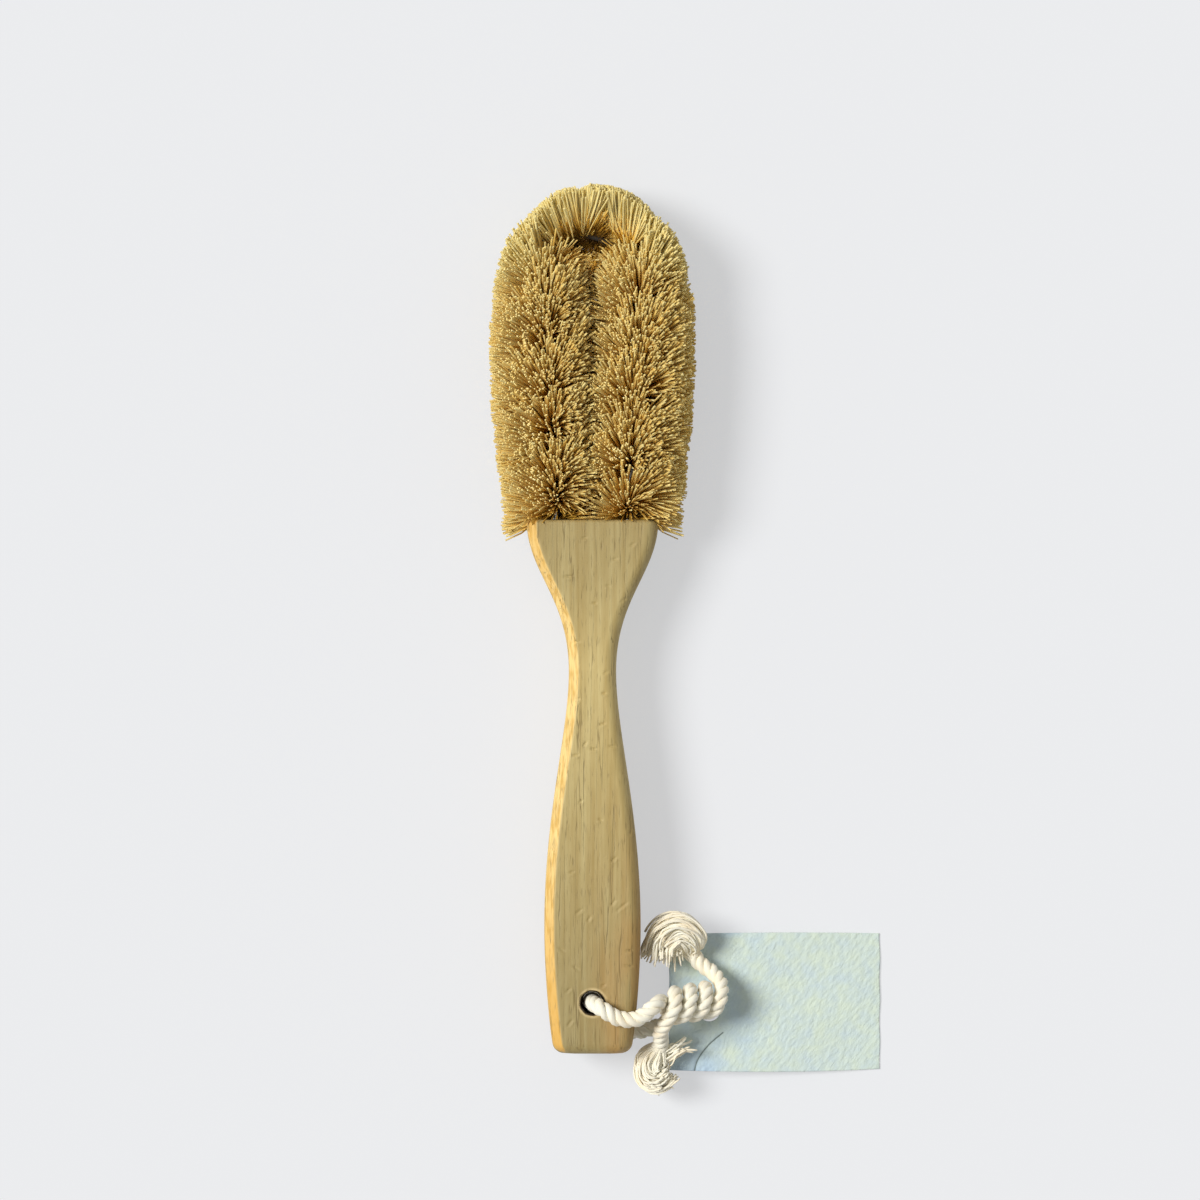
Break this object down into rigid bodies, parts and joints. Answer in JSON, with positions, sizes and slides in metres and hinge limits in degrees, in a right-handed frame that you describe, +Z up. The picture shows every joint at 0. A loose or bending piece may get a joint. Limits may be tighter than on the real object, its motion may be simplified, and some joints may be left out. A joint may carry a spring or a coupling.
{
  "type": "dish brush",
  "caption": "Dish brush: twisted-wire coir fibre loop set in a flat waisted wooden handle, with a knotted cotton hanging cord through its end and a blank paper swing tag.",
  "frame": {"origin": "under the middle of the brush, on the surface that it lies on", "axes": "+Y along the brush from the handle's butt to the bristle tip, +X to the side where the cord and tag lie, +Z up out of the handle's front face"},
  "size_m": [0.1169, 0.272, 0.0335],
  "materials": {
    "wood": "sanded pale wood, unvarnished",
    "wire": "drawn galvanised wire",
    "coir": "natural golden brown plant fibre",
    "cotton": "undyed twisted cotton",
    "tag_paper": "pale matt handmade paper"
  },
  "bodies": {
    "brush": {"handle": "wood", "core_wire_a": "wire", "core_wire_b": "wire", "coir_left_leg": "coir", "coir_bend": "coir", "coir_right_leg": "coir"},
    "cord": {"hanging_cord": "cotton", "frayed_end_upper": "cotton", "frayed_end_lower": "cotton"},
    "tag": {"swing_tag": "tag_paper"}
  },
  "joints": [
    {"name": "cord_swing", "type": "hinge", "parent": "brush", "child": "cord", "pos_m": [0, -0.11525, 0.0165], "axis": [0, 0, 1], "range_deg": [-165, 0]},
    {"name": "tag_swivel", "type": "hinge", "parent": "cord", "child": "tag", "pos_m": [0.0352, -0.11845, 0.0048], "axis": [0, 0, 1], "range_deg": [-45, 45]}
  ]
}
